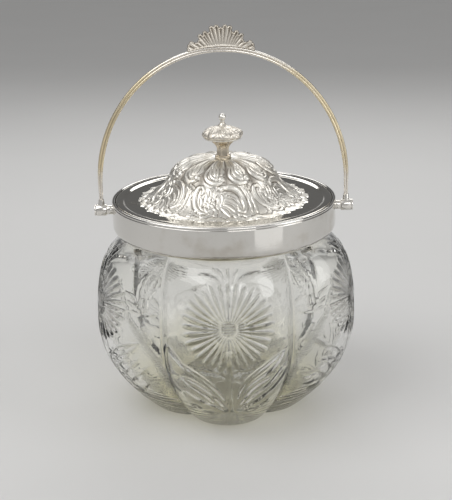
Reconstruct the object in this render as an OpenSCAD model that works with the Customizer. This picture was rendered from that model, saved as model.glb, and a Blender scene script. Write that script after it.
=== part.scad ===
// Lobed glass biscuit jar with a plated collar, a swinging bail handle and a lift-off domed lid.
// The origin is the middle of the jar's flat underside, +Z is up, and the bail hangs on the X axis.

/* [Glass jar] */
// Diameter over the crowns of the lobes, at the widest height
belly_d = 153.8; // [130:0.2:170]
// Height of the widest place above the base
belly_h = 56.8; // [46:0.1:66]
// Diameter of the flat underside over the lobes
base_d = 86; // [70:1:96]
// Height of the glass lip above the base
glass_h = 122; // [112:0.5:140]
// Outer diameter of the plain round neck
neck_d = 108; // [102:0.5:114]
// Height of the straight neck
neck_h = 16; // [12:0.2:18]
// Thickness of the glass wall
wall = 5; // [3:0.1:7]
// Thickness of the glass floor
floor_t = 8; // [5:0.5:14]
// Number of lobes round the jar
lobes = 5; // [4:1:8]
// Depth of the valleys between the lobes at the widest height
valley_depth = 14.6; // [6:0.2:18]
// Fullness of the shoulder curve, where 2 is a quarter ellipse
shoulder_fullness = 2.6; // [2:0.05:4]
// Power of the bowl curve, where 1 is a quarter ellipse and 2 draws in sooner
bowl_power = 1.94; // [1:0.02:2.6]

/* [Collar] */
// Distance from the glass neck out to the collar's side
collar_reach = 10.5; // [9:0.1:14]
// Height of the collar from its in-turned lip to its rim
collar_h = 19.6; // [15:0.2:24]
// Thickness of the plated sheet
sheet_t = 0.8; // [0.5:0.05:1.2]
// Width of the in-turned lip at the bottom of the collar
collar_turn = 6.2; // [3:0.1:7]
// Height over which the collar turns in
collar_turn_h = 5.4; // [3:0.1:8]
// Diameter of the wired bead round the rim
bead_d = 1.8; // [1.2:0.1:2.6]
// Height of the rim above the glass lip
rim_rise = 4; // [3.4:0.1:7]
// Drop from the rim to the ledge that the lid rests on
seat_drop = 2; // [1.4:0.1:3]
// Height of the sleeve under the ledge
sleeve_h = 7; // [3:0.5:10]
// Gap between the glass and the metal round it, filled with plaster
glass_clear = 0.4; // [0.3:0.05:0.8]

/* [Lid] */
// Gap between the lid's edge and the bead
lid_clear = 0.35; // [0.3:0.05:0.8]
// Height of the dome above the lid's seat
dome_h = 24.2; // [18:0.2:30]
// Radius at which the dome meets the plain brim
dome_foot_r = 47.5; // [42:0.5:50]
// Radius of the dome's shoulder
dome_shoulder_r = 29.8; // [26:0.2:32]
// Number of gadroons that swell round the dome
gadroons = 12; // [8:1:16]
// Depth of the creases between the gadroons
gadroon_depth = 1; // [0.4:0.1:1.6]
// Angle from the front to the crown of the nearest gadroon
gadroon_turn = -12; // [-15:0.5:15]
// Thickness of the lid's sheet
lid_t = 0.9; // [0.6:0.05:1.4]
// Width of the raised border round the lid's edge
border_w = 5; // [3:0.5:7]
// Rise of the border above the seat
border_h = 1.8; // [1:0.1:2.6]
// Width of the slope from the brim up to the border
border_slope = 1.2; // [0.6:0.1:2]
// Bevel round the outer edge of the border
border_bevel = 0.5; // [0.2:0.1:0.8]
// Depth of the locating flange under the lid
flange_h = 9; // [5:0.5:14]
// Gap between the locating flange and the mouth of the glass
flange_clear = 0.7; // [0.4:0.1:1.5]

/* [Finial] */
// Radius of the dished middle of the dome, where the finial stands
finial_seat_r = 6; // [5:0.5:8]
// Width across the corners of the eight-sided foot ring
foot_ring_d = 9.8; // [8:0.2:14]
// Height of the foot ring
foot_ring_h = 2; // [1.2:0.1:3.5]
// Diameter of the stem at its waist
stem_waist_d = 6.3; // [5:0.1:7.2]
// Diameter of the stem where it flares under the cap
stem_top_d = 11.8; // [8:0.1:13]
// Height of the stem
stem_h = 9.7; // [8:0.1:14]
// Diameter of the lobed cap
cap_d = 23.4; // [18:0.2:28]
// Height of the cap's underplate
cap_plate_h = 0.8; // [0.6:0.1:2.4]
// Height of the cap above its underplate
cap_h = 8.8; // [7:0.1:11]
// Number of scrolled lobes round the cap
cap_lobes = 8; // [6:1:10]
// Depth of the valleys between the cap's lobes
cap_valley = 1.3; // [0.5:0.1:2]
// Angle from the front to the crown of the nearest lobe
cap_turn = 10; // [-22:1:22]
// Diameter of the cap's neck under the ball
cap_neck_d = 2.8; // [2.4:0.1:5]
// Diameter of the ball on top
ball_d = 4.2; // [3:0.1:6]
// Diameter of the threaded stud that holds the finial
stud_d = 3; // [2:0.1:3.6]
// Clearance round the stud in the pieces that it passes through
stud_fit = 0.1; // [0.05:0.05:0.3]
// Diameter of the washer under the dome
washer_d = 10; // [7:0.5:12]
// Thickness of the washer
washer_h = 0.8; // [0.5:0.1:1.4]
// Width of the nut across its flats
nut_af = 6.4; // [5:0.1:8]
// Height of the nut
nut_h = 2.4; // [1.6:0.1:3.5]
// Length of stud that shows below the nut
stud_tail = 1.6; // [0.5:0.1:3]

/* [Bail handle] */
// Height of the bail's pivots below the rim
pivot_drop = 6.9; // [5:0.1:9]
// Diameter of the fixed boss on the collar
boss_d = 5.4; // [4.6:0.1:6.2]
// Length of the fixed boss
boss_len = 3.4; // [2.6:0.1:5]
// Diameter of the knuckle that turns on the pivot screw
knuckle_d = 6.8; // [6:0.1:8]
// Length of the knuckle
knuckle_len = 5.7; // [4.6:0.1:7]
// Diameter of the pivot screw's shank
screw_d = 3; // [2.4:0.1:3.4]
// Running gap round the screw's shank
pivot_fit = 0.06; // [0.03:0.01:0.1]
// End play of the knuckle on each side
end_play = 0.12; // [0.08:0.01:0.3]
// Diameter of the screw's head
screw_head_d = 6.4; // [5.4:0.1:7]
// Thickness of the screw's head
screw_head_h = 1; // [0.7:0.1:1.6]
// Width of the slot in the screw's head
screw_slot_w = 0.8; // [0.5:0.1:1.2]
// Height of the socket that holds the leg, above the knuckle
socket_h = 3; // [2:0.1:5]
// Diameter of the socket at the knuckle's axis
socket_foot_d = 4.8; // [4:0.1:5.6]
// Diameter of the socket where it meets the leg
socket_top_d = 3; // [2.8:0.1:4]
// Height of the top of the bail above its pivots, at mid width
bail_h = 91.2; // [84:0.2:104]
// Height above the pivots at which the straight legs turn into the arch
spring_h = 15.3; // [10:0.1:40]
// Width of the bail in the plane of the arch, over its two reeds
bail_w = 3.2; // [2.6:0.1:3.8]
// Thickness of the bail from front to back
bail_t = 2.4; // [2:0.1:3]
// Share of the section left at the foot of each leg
leg_taper = 0.7; // [0.6:0.01:1]
// Height above the sockets over which the legs taper
taper_h = 26; // [10:1:60]
// Depth of the groove between the two reeds
reed_depth = 0.4; // [0.2:0.05:0.5]

/* [Crest] */
// Height of the fan's tallest ribs above the bail
crest_h = 12; // [9:0.1:16]
// Angle from upright to the outermost rib of the fan
fan_spread = 68; // [56:1:72]
// Depth below the bail's outer edge at which the ribs would meet
fan_drop = 8.6; // [6:0.1:11]
// Thickness of the crest
crest_t = 2.4; // [1.6:0.1:3.4]
// Thickness of the web between the ribs
web_t = 1.2; // [0.8:0.1:2]
// Diameter of the rounded rib tips
rib_tip_d = 2.9; // [2.4:0.1:4]
// Thickness of the saddle that the fan stands on
saddle_t = 0.6; // [0.5:0.1:1.2]
// Width of the saddle from front to back
saddle_w = 2.6; // [2.2:0.1:3.4]
// Solder gap between the saddle and the bail
solder = 0.05; // [0.04:0.01:0.2]

/* [Hidden] */
$fn = 96;

SILVER = [0.80, 0.79, 0.76];
SILVER_BRIGHT = [0.88, 0.87, 0.84];
GILT_WORN = [0.80, 0.72, 0.55];
GLASS = [0.86, 0.88, 0.76, 0.4];
PLASTER = [0.86, 0.84, 0.78];
STEEL = [0.55, 0.55, 0.54];

// Heights above the base
shoulder_z = glass_h - neck_h;
rim_z = glass_h + rim_rise;
collar_z = rim_z - collar_h;
seat_z = rim_z - seat_drop;
pivot_z = rim_z - pivot_drop;
finial_z = seat_z + dome_h;

// Cuts run this far past the face that they start from
OVERCUT = 1;

// ---------- Outlines ----------

// Points of a curve eased through the points p by Catmull-Rom
function eased(p, steps) = [
    for (i = [0 : len(p) - 2], j = [0 : steps - 1])
        let (t = j / steps, a = p[max(i - 1, 0)], b = p[i], c = p[i + 1], d = p[min(i + 2, len(p) - 1)])
        b + t / 2 * (c - a + t * (2 * a - 5 * b + 4 * c - d + t * (3 * b - 3 * c + d - a))),
    p[len(p) - 1]
];

// The same curve moved sideways by t, to its right as it runs
function beside(p, t) = [
    for (i = [0 : len(p) - 1])
        let (d = p[min(i + 1, len(p) - 1)] - p[max(i - 1, 0)])
        p[i] + t * [d.y, -d.x] / norm(d)
];

function backwards(p) = [for (i = [len(p) - 1 : -1 : 0]) p[i]];

module turned(outline) rotate_extrude() polygon(outline);

// A cylinder along X between two distances from the jar's axis, on the side given by 1 or -1
module bar(side, x0, x1, d)
    translate([side * x0, 0, 0]) rotate([0, side * 90, 0]) cylinder(d = d, h = x1 - x0);

// A solid through rings that have as many points each, closed by the first and the last
module loft(rings) {
    n = len(rings[0]);
    last = len(rings) - 1;
    polyhedron(
        points = [for (ring = rings, p = ring) p],
        faces = concat(
            [[for (i = [0 : n - 1]) i]],
            [for (k = [0 : last - 1], i = [0 : n - 1])
                [k * n + i, (k + 1) * n + i, (k + 1) * n + (i + 1) % n, k * n + (i + 1) % n]],
            [[for (i = [n - 1 : -1 : 0]) last * n + i]]
        ),
        convexity = 8
    );
}

// Distance from the axis of a form with n round lobes, as a share of the distance to a crown.
// Each lobe is a circle whose centre lies the share offset of the way to the crown.
function lobe_share(angle, n, offset) =
    let (pitch = 360 / n, a = ((angle + pitch / 2) % pitch + pitch) % pitch - pitch / 2)
    offset * cos(a) + sqrt(pow(1 - offset, 2) - pow(offset * sin(a), 2));

// The offset of the lobes' centres that leaves a valley at the share v of the crown's distance
function lobe_offset(n, v) = (1 - v * v) / (2 * (1 - v * cos(180 / n)));

// ---------- Glass ----------

LOBE_STEPS = 14;
BOWL_STEPS = 11;
SHOULDER_STEPS = 9;
belly_r = belly_d / 2;
neck_r = neck_d / 2;
mouth_r = neck_r - wall;
glass_offset = lobe_offset(lobes, 1 - valley_depth / belly_r);

// Crown radius and height up the outside of the bowl and the shoulder
bowl_curve = [for (i = [BOWL_STEPS : -1 : 1]) let (a = 90 * i / BOWL_STEPS)
    [base_d / 2 + (belly_r - base_d / 2) * pow(cos(a), bowl_power), belly_h * (1 - sin(a))]];
shoulder_curve = [for (i = [0 : SHOULDER_STEPS]) let (a = 90 * i / SHOULDER_STEPS)
    [neck_r + (belly_r - neck_r) * pow(cos(a), 2 / shoulder_fullness),
     belly_h + (shoulder_z - belly_h) * pow(sin(a), 2 / shoulder_fullness)]];
side_curve = concat(bowl_curve, shoulder_curve);

// The inside follows the outside at the wall's distance, down to a flat floor
wall_curve = [for (p = beside(side_curve, -wall)) if (p.y > floor_t && p.y < shoulder_z - wall) p];
floor_r = wall_curve[0].x - (wall_curve[0].y - floor_t) * (wall_curve[1].x - wall_curve[0].x)
    / (wall_curve[1].y - wall_curve[0].y);

// One level of the glass, whose lobes die away towards the round neck of radius r0
function glass_ring(p, r0) =
    let (swell = min(1, max(0, p.x - r0) / (belly_r - neck_r)),
        fade = p.y > belly_h ? 1 - pow(1 - swell, 4) : 1)
    [for (i = [0 : lobes * LOBE_STEPS - 1])
        let (angle = 360 * i / (lobes * LOBE_STEPS), r = p.x * lobe_share(angle, lobes, glass_offset * fade))
        [r * sin(angle), -r * cos(angle), p.y]];

module glass_jar() {
    outside = concat(side_curve, [[neck_r, glass_h]]);
    inside = concat([[floor_r, floor_t]], wall_curve, [[mouth_r, shoulder_z - wall], [mouth_r, glass_h]]);
    color(GLASS)
        loft(concat(
            [for (p = outside) glass_ring(p, neck_r)],
            [for (p = backwards(inside)) glass_ring(p, mouth_r)]
        ));
}

// ---------- Collar ----------

TURN_STEPS = 8;
collar_r = neck_r + collar_reach;
band_r = collar_r - sheet_t;
bead_r = collar_r - bead_d / 2;
bead_z = rim_z - bead_d / 2;
sleeve_r = neck_r + glass_clear;
sleeve_z = seat_z - sleeve_h;

// The band from its in-turned lip up to the straight side, outside and inside
turn_outside = [for (i = [0 : TURN_STEPS]) let (a = 90 * i / TURN_STEPS)
    [collar_r - collar_turn * (1 - sin(a)), collar_z + collar_turn_h * (1 - cos(a))]];
turn_inside = beside(turn_outside, -sheet_t);

module collar_band() {
    color(SILVER_BRIGHT) {
        turned(concat(turn_outside, [[collar_r, bead_z], [band_r, bead_z]], backwards(turn_inside)));
        translate([0, 0, bead_z]) rotate_extrude() translate([bead_r, 0]) circle(d = bead_d, $fn = 24);
    }
}

// A flat ledge for the lid, with a sleeve that grips the neck
module collar_seat_ring() {
    color(SILVER) turned([
        [sleeve_r, sleeve_z], [sleeve_r + sheet_t, sleeve_z], [sleeve_r + sheet_t, seat_z - sheet_t],
        [band_r, seat_z - sheet_t], [band_r, seat_z], [sleeve_r, seat_z]
    ]);
}

// Plaster that fills the band round the neck, up to the sleeve
module neck_cement() {
    color(PLASTER) turned(concat(
        [[neck_r, turn_inside[0].y]], turn_inside, [[band_r, sleeve_z], [neck_r, sleeve_z]]
    ));
}

// ---------- Pivots ----------

boss_end_x = collar_r + boss_len;
knuckle_x = boss_end_x + end_play;
knuckle_mid_x = knuckle_x + knuckle_len / 2;
head_x = knuckle_x + knuckle_len + end_play;

// A boss soldered to the collar, tapped for the pivot screw
module pivot_boss(side) {
    color(SILVER) translate([0, 0, pivot_z]) difference() {
        bar(side, band_r, boss_end_x, boss_d);
        cylinder(r = collar_r, h = 2 * boss_d, center = true);
        bar(side, band_r, boss_end_x + OVERCUT, screw_d);
    }
}

module pivot_screw(side) {
    color(SILVER_BRIGHT) translate([0, 0, pivot_z]) difference() {
        union() {
            bar(side, collar_r, head_x, screw_d);
            bar(side, head_x, head_x + screw_head_h, screw_head_d);
        }
        translate([side * (head_x + screw_head_h), 0, 0])
            cube([screw_head_h, screw_head_d + OVERCUT, screw_slot_w], center = true);
    }
}

module pivot_boss_left() pivot_boss(-1);
module pivot_boss_right() pivot_boss(1);
module pivot_screw_left() pivot_screw(-1);
module pivot_screw_right() pivot_screw(1);

// ---------- Bail ----------

socket_top = knuckle_d / 2 + socket_h;

// The barrel that turns on the screw, with a tapered socket that holds the leg
module bail_knuckle(side) {
    color(SILVER) translate([0, 0, pivot_z]) difference() {
        union() {
            bar(side, knuckle_x, knuckle_x + knuckle_len, knuckle_d);
            translate([side * knuckle_mid_x, 0, 0])
                cylinder(d1 = socket_foot_d, d2 = socket_top_d, h = socket_top);
        }
        bar(side, knuckle_x - OVERCUT, knuckle_x + knuckle_len + OVERCUT, screw_d + 2 * pivot_fit);
    }
}

module bail_knuckle_left() bail_knuckle(-1);
module bail_knuckle_right() bail_knuckle(1);

LEG_RINGS = 4;
ARCH_RINGS = 20;

// A point of the half-elliptical arch in its own plane, at the angle a and raised from the mid line by up
function arch_point(a, up) =
    let (rise = bail_h - spring_h, outward = [rise * cos(a), knuckle_mid_x * sin(a)])
    [knuckle_mid_x * cos(a), spring_h + rise * sin(a)] + up * outward / norm(outward);

// The same for level k of the whole bail, from the foot of the right leg to the top of the arch
function bail_point(k, up) =
    k < LEG_RINGS
        ? [knuckle_mid_x + up, socket_top + (spring_h - socket_top) * k / LEG_RINGS]
        : arch_point(90 * (k - LEG_RINGS) / ARCH_RINGS, up);

// Half the thickness of the bail at the share u of its half width, where each reed's crown is at one half
function reed(u, t) =
    u < 0.5 ? t / 2 - reed_depth * (1 - sin(180 * u)) : t / 2 * sqrt(1 - pow(2 * u - 1, 2));
REED_POINTS = [-0.8, -0.5, -0.25, 0, 0.25, 0.5, 0.8];

// The section of two reeds side by side, width w and thickness t
function reed_section(w, t) = concat(
    [[w / 2, 0]], [for (u = backwards(REED_POINTS)) [u * w / 2, reed(abs(u), t)]],
    [[-w / 2, 0]], [for (u = REED_POINTS) [u * w / 2, -reed(abs(u), t)]]
);

function bail_ring(k, side) =
    let (taper = leg_taper + (1 - leg_taper) * min(1, (bail_point(k, 0).y - socket_top) / taper_h))
    [for (q = reed_section(bail_w * taper, bail_t * taper))
        let (p = bail_point(k, q.x)) [side * p.x, q.y, pivot_z + p.y]];

module bail_handle() {
    top = LEG_RINGS + ARCH_RINGS;
    color(GILT_WORN) loft(concat(
        [for (k = [0 : top]) bail_ring(k, 1)],
        [for (k = [top - 1 : -1 : 0]) bail_ring(k, -1)]
    ));
}

// ---------- Crest ----------

SADDLE_STEPS = 24;
crest_z = pivot_z + bail_h + bail_w / 2;
fan_reach = fan_drop + crest_h;
saddle_angle = acos(fan_reach * sin(fan_spread) / knuckle_mid_x);
// Half the fan, from the middle out: share of the spread and share of the reach of each rib
FAN = [
    [0, 0.93], [0.107, 1], [0.228, 1], [0.31, 0.87], [0.427, 0.945], [0.573, 0.95], [0.67, 0.85],
    [0.85, 1], [1, 0.99]
];

// The line of the arch from the angle a over to the other side, up from its outer edge
function saddle_line(a, up) = [
    for (i = [0 : SADDLE_STEPS]) arch_point(a + (180 - 2 * a) * i / SADDLE_STEPS, bail_w / 2 + up)
];

// An outline of the arch's plane, given a thickness
module upright(outline, t)
    translate([0, t / 2, pivot_z]) rotate([90, 0, 0]) linear_extrude(t) polygon(outline);

// A tapered rib with a round tip, leaning from upright about the fan's centre
module rib(lean, reach) {
    translate([0, 0, crest_z - fan_drop]) rotate([0, lean, 0]) scale([1, crest_t / rib_tip_d, 1]) hull() {
        translate([0, 0, fan_drop]) sphere(d = rib_tip_d / 2, $fn = 8);
        translate([0, 0, reach - rib_tip_d / 2]) sphere(d = rib_tip_d, $fn = 10);
    }
}

module bail_crest() {
    fan = concat([for (i = [len(FAN) - 1 : -1 : 1]) [-FAN[i][0], FAN[i][1]]], FAN);
    middle = [0, bail_h + bail_w / 2 - fan_drop];
    web = [
        for (f = fan) let (a = f[0] * fan_spread) middle + (f[1] * fan_reach - rib_tip_d) * [sin(a), cos(a)]
    ];
    color(SILVER_BRIGHT) difference() {
        union() {
            for (f = fan) rib(f[0] * fan_spread, f[1] * fan_reach);
            upright(concat([middle], web), web_t);
            upright(concat(saddle_line(saddle_angle, solder),
                backwards(saddle_line(saddle_angle, solder + saddle_t))), saddle_w);
        }
        // Everything under the bail's outer edge is cut away
        upright(concat(saddle_line(0.9 * saddle_angle, solder), [[0, 0]]), 2 * saddle_w);
    }
}

// ---------- Lid ----------

DOME_STEPS = 2;
GADROON_STEPS = 6;
lid_r = bead_r - bead_d / 2 - lid_clear;
flange_r = mouth_r - flange_clear;
stud_hole_r = stud_d / 2 + stud_fit;

dome_skirt = dome_foot_r - dome_shoulder_r;

// The outside of the dome from the finial's seat to the brim: radius, height above the lid's seat, and
// how deep the creases between the gadroons are there as a share of the full depth
DOME_SHAPE = [
    [finial_seat_r, dome_h, 0], [0.37 * dome_shoulder_r, 1.045 * dome_h, 0.5],
    [0.64 * dome_shoulder_r, dome_h, 1], [0.87 * dome_shoulder_r, 0.875 * dome_h, 1],
    [dome_shoulder_r, 0.71 * dome_h, 0.9], [dome_foot_r - 0.89 * dome_skirt, 0.545 * dome_h, 0.5],
    [dome_foot_r - 0.68 * dome_skirt, 0.33 * dome_h, 0], [dome_foot_r - 0.35 * dome_skirt, 0.15 * dome_h, 0],
    [dome_foot_r, lid_t, 0]
];
dome_curve = eased(DOME_SHAPE, DOME_STEPS);
dome_outline = [for (p = dome_curve) [p.x, p.y]];

// Level k of the dome, set in from its outside by inset and by the crease at each angle from a crown
function dome_ring(k, inset) = [
    for (i = [0 : gadroons * GADROON_STEPS - 1])
        let (angle = 360 * i / (gadroons * GADROON_STEPS),
            crease = gadroon_depth * dome_curve[k].z * (1 - abs(cos(gadroons * angle / 2))),
            p = beside(dome_outline, inset + crease)[k])
        [p.x * sin(angle + gadroon_turn), -p.x * cos(angle + gadroon_turn), seat_z + p.y]
];

module lid_cover() {
    foot = len(dome_curve) - 1;
    border_z = seat_z + border_h;
    color(SILVER) difference() {
        union() {
            loft(concat(
                [for (k = [0 : 2 : foot]) dome_ring(k, lid_t)],
                [for (k = [foot : -1 : 0]) dome_ring(k, 0)]
            ));
            turned([[dome_foot_r - lid_t, seat_z], [lid_r, seat_z], [lid_r, border_z - border_bevel],
                [lid_r - border_bevel, border_z], [lid_r - border_w + border_slope, border_z],
                [lid_r - border_w, seat_z + lid_t], [dome_foot_r - lid_t, seat_z + lid_t]]);
        }
        stud_bore(stud_hole_r);
    }
}

module lid_flange() {
    color(SILVER) translate([0, 0, seat_z - flange_h]) difference() {
        cylinder(r = flange_r, h = flange_h);
        translate([0, 0, -OVERCUT]) cylinder(r = flange_r - sheet_t, h = flange_h + 2 * OVERCUT);
    }
}

// ---------- Finial ----------

stem_z = finial_z + foot_ring_h;
plate_z = stem_z + stem_h;
cap_z = plate_z + cap_plate_h;
ball_z = cap_z + cap_h;
washer_z = finial_z - lid_t - washer_h;
nut_z = washer_z - nut_h;
stud_z = nut_z - stud_tail;

module stud_bore(r) translate([0, 0, stud_z]) cylinder(r = r, h = cap_z - stud_z + OVERCUT);

module finial_foot_ring() {
    color(SILVER) difference() {
        translate([0, 0, finial_z]) rotate(22.5) cylinder(d = foot_ring_d, h = foot_ring_h, $fn = 8);
        stud_bore(stud_hole_r);
    }
}

// Eight flat flutes that draw in to a waist and flare out under the cap
module finial_stem() {
    waist_r = stem_waist_d / 2;
    top_r = stem_top_d / 2;
    flare = top_r - waist_r;
    side = eased([[waist_r + 0.07 * flare, 0], [waist_r, 0.3 * stem_h],
        [waist_r + 0.09 * flare, 0.52 * stem_h], [waist_r + 0.4 * flare, 0.72 * stem_h], [top_r, stem_h]], 2);
    color(SILVER) difference() {
        translate([0, 0, stem_z]) rotate(22.5) rotate_extrude($fn = 8)
            polygon(concat([[0, 0]], side, [[0, stem_h]]));
        stud_bore(stud_hole_r);
    }
}

module finial_cap_plate() {
    color(SILVER) difference() {
        translate([0, 0, plate_z]) turned([[0, 0], [0.45 * cap_d, 0], [0.46 * cap_d, 0.3 * cap_plate_h],
            [0.465 * cap_d, cap_plate_h], [0, cap_plate_h]]);
        stud_bore(stud_d / 2);
    }
}

// A swelling cap of scrolled lobes that draws in to a smooth neck
module finial_cap() {
    r = cap_d / 2;
    // Crown radius and height, then how deep the valleys are there as a share of the full depth
    side = [
        [0.93 * r, 0, 1], [0.98 * r, 0.05 * cap_h, 1], [r, 0.135 * cap_h, 1], [0.985 * r, 0.26 * cap_h, 1],
        [0.94 * r, 0.38 * cap_h, 1], [0.85 * r, 0.5 * cap_h, 1], [0.68 * r, 0.585 * cap_h, 0.9],
        [0.46 * r, 0.66 * cap_h, 0.6], [0.27 * r, 0.75 * cap_h, 0.3], [0.17 * r, 0.85 * cap_h, 0],
        [cap_neck_d / 2, 0.94 * cap_h, 0], [cap_neck_d / 2, cap_h, 0]
    ];
    steps = 6 * cap_lobes;
    offset = lobe_offset(cap_lobes, 1 - cap_valley / r);
    color(SILVER_BRIGHT) translate([0, 0, cap_z]) rotate(cap_turn) loft([
        for (p = side) [
            for (i = [0 : steps - 1])
                let (a = 360 * i / steps, d = p.x * lobe_share(a, cap_lobes, offset * p.z))
                [d * sin(a), -d * cos(a), p.y]
        ]
    ]);
}

module finial_ball() {
    color(SILVER_BRIGHT) translate([0, 0, ball_z]) {
        cylinder(d = 0.9 * cap_neck_d, h = ball_d / 3);
        translate([0, 0, 0.6 * ball_d]) sphere(d = ball_d);
    }
}

module finial_stud() color(STEEL) translate([0, 0, stud_z]) cylinder(d = stud_d, h = cap_z - stud_z);

module finial_washer() {
    color(STEEL) difference() {
        translate([0, 0, washer_z]) cylinder(d = washer_d, h = washer_h);
        stud_bore(stud_hole_r);
    }
}

module finial_nut() {
    color(STEEL) difference() {
        translate([0, 0, nut_z]) cylinder(d = nut_af / cos(30), h = nut_h, $fn = 6);
        stud_bore(stud_d / 2);
    }
}

glass_jar();
neck_cement();
collar_band();
collar_seat_ring();
pivot_boss_left();
pivot_boss_right();
pivot_screw_left();
pivot_screw_right();
bail_knuckle_left();
bail_knuckle_right();
bail_handle();
bail_crest();
lid_cover();
lid_flange();
finial_foot_ring();
finial_stem();
finial_cap_plate();
finial_cap();
finial_ball();
finial_stud();
finial_washer();
finial_nut();
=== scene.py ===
from math import asin, cos, pi, radians, sin

import bmesh
import bpy
import numpy as np
from mathutils import Matrix, Vector


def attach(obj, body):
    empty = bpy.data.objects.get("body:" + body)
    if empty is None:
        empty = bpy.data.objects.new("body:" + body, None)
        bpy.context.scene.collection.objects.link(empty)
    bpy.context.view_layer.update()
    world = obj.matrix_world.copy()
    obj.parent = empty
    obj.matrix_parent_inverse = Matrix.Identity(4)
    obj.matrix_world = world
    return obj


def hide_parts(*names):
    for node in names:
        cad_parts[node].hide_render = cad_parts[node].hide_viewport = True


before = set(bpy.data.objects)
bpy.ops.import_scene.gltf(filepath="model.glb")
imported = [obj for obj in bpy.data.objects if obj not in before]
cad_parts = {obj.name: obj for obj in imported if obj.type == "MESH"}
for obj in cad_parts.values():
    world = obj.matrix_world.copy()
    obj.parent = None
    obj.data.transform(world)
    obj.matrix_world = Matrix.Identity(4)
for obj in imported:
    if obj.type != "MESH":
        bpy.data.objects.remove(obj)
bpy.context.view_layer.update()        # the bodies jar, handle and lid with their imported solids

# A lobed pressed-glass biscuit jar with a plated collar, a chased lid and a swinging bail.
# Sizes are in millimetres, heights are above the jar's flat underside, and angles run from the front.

MM = 0.001
FAR = 99.0

# ---------- Shapes in general ----------


def eased(points, steps):
    """The points of a smooth curve through the given ones."""
    p = np.array(points, float)
    t = (np.arange(steps) / steps)[:, None]
    rows = []
    for i in range(len(p) - 1):
        a, b, c, d = p[max(i - 1, 0)], p[i], p[i + 1], p[min(i + 2, len(p) - 1)]
        rows.append(b + t / 2 * (c - a + t * (2 * a - 5 * b + 4 * c - d + t * (3 * b - 3 * c + d - a))))
    return np.vstack(rows + [p[-1:]])


def beside(line, distance):
    """The same line moved sideways, to its right as it runs."""
    d = np.gradient(line, axis=0)
    d /= np.linalg.norm(d, axis=1)[:, None]
    return line + distance * np.stack([d[:, 1], -d[:, 0]], axis=1)


def lengths_along(line):
    return np.r_[0, np.cumsum(np.linalg.norm(np.diff(line, axis=0), axis=1))]


def around(angle, r, z):
    """Points at an angle from the front, a distance from the axis and a height."""
    a = np.radians(angle)
    return np.stack([r * np.sin(a), -r * np.cos(a), z], axis=1)


def row_at(v, side):
    """The number of the side's point that each v, from 0 to 1, falls on."""
    return np.round(v * (len(side) - 1)).astype(int)


def respaced(line, spacing):
    """The same line with points at the spacing that is given for each distance along it."""
    run = lengths_along(line)
    at, places = 0.0, [0.0]
    while at < run[-1] - spacing(at):
        at += spacing(at)
        places.append(at)
    places.append(run[-1])
    return np.stack([np.interp(places, run, line[:, 0]), np.interp(places, run, line[:, 1])], axis=1)


def rise(x, low, high):
    """From 0 at low to 1 at high, with soft ends."""
    t = np.clip((x - low) / (high - low), 0, 1)
    return t * t * (3 - 2 * t)


def folded(angle, pitch):
    """The angle from the nearest multiple of the pitch."""
    return (angle + pitch / 2) % pitch - pitch / 2


def lobe_share(angle, lobes, offset):
    """Distance from the axis of a form with round lobes, as a share of the distance to a crown."""
    a = np.radians(folded(angle, 360 / lobes))
    return offset * np.cos(a) + np.sqrt((1 - offset) ** 2 - (offset * np.sin(a)) ** 2)


def lobe_offset(lobes, valley):
    """Offset of the lobes' centres that leaves a valley at this share of the crown's distance."""
    return (1 - valley * valley) / (2 * (1 - valley * cos(pi / lobes)))


def off_line(x, y, line):
    """How far each point lies from a line of (x, y, half width), as a share of its half width there."""
    share = np.full(x.shape, FAR)
    for a, b in zip(line, line[1:]):
        d = b - a
        t = np.clip(((x - a[0]) * d[0] + (y - a[1]) * d[1]) / (d[0] ** 2 + d[1] ** 2 + 1e-9), 0, 1)
        share = np.minimum(share, np.hypot(x - a[0] - t * d[0], y - a[1] - t * d[1]) / (a[2] + t * d[2]))
    return share


def off_stroke(angle, height, radius, stroke, pitch, radius_at):
    """The same for a stroke of (angle, height, half width) that is repeated at the pitch round the axis.

    Points that lie nowhere near it get FAR."""
    line = eased(stroke, 5)
    middle = line[:, 0].mean()
    line[:, 0] = np.radians(line[:, 0] - middle) * radius_at(line[:, 1])
    x = np.radians(folded(angle - middle, pitch)) * radius
    reach = line[:, 2].max()
    near = (x > line[:, 0].min() - reach) & (x < line[:, 0].max() + reach)
    near &= (height > line[:, 1].min() - reach) & (height < line[:, 1].max() + reach)
    result = np.full(x.shape, FAR)
    result[near] = off_line(x[near], height[near], line)
    return result


def hollow(share):
    """Depth across a scooped stroke, from 1 in its middle to 0 at its edge."""
    return np.clip(1 - share * share, 0, 1)


def bead(share):
    """Height across a rounded stroke, from 1 in its middle to 0 at its edge."""
    return np.sqrt(np.clip(1 - share * share, 0, 1))


def laid_on(height, share, tall, vein=0.0, cut=0.3):
    """Raised work laid over what is there, with a fine line cut round it and a vein down its middle."""
    raised = tall * bead(share) * (1 - vein * np.exp(-(share / 0.3) ** 2))
    line = cut * np.exp(-((share - 1.22) / 0.2) ** 2)
    return np.where(share < 1, raised - line, np.maximum(height - line, -1.4 * cut))


# ---------- Objects ----------


def piece(bm, name, body, replaced, finish, sharp=35):
    """Makes a finished mesh into an object that rides on a body and stands for its solids."""
    mesh = bpy.data.meshes.new(name)
    bm.to_mesh(mesh)
    bm.free()
    mesh.shade_smooth()
    mesh.set_sharp_from_angle(angle=radians(sharp))
    mesh.materials.append(finish)
    made = bpy.data.objects.new(name, mesh)
    bpy.context.scene.collection.objects.link(made)
    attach(made, body)
    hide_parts(*replaced)
    return made


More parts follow.
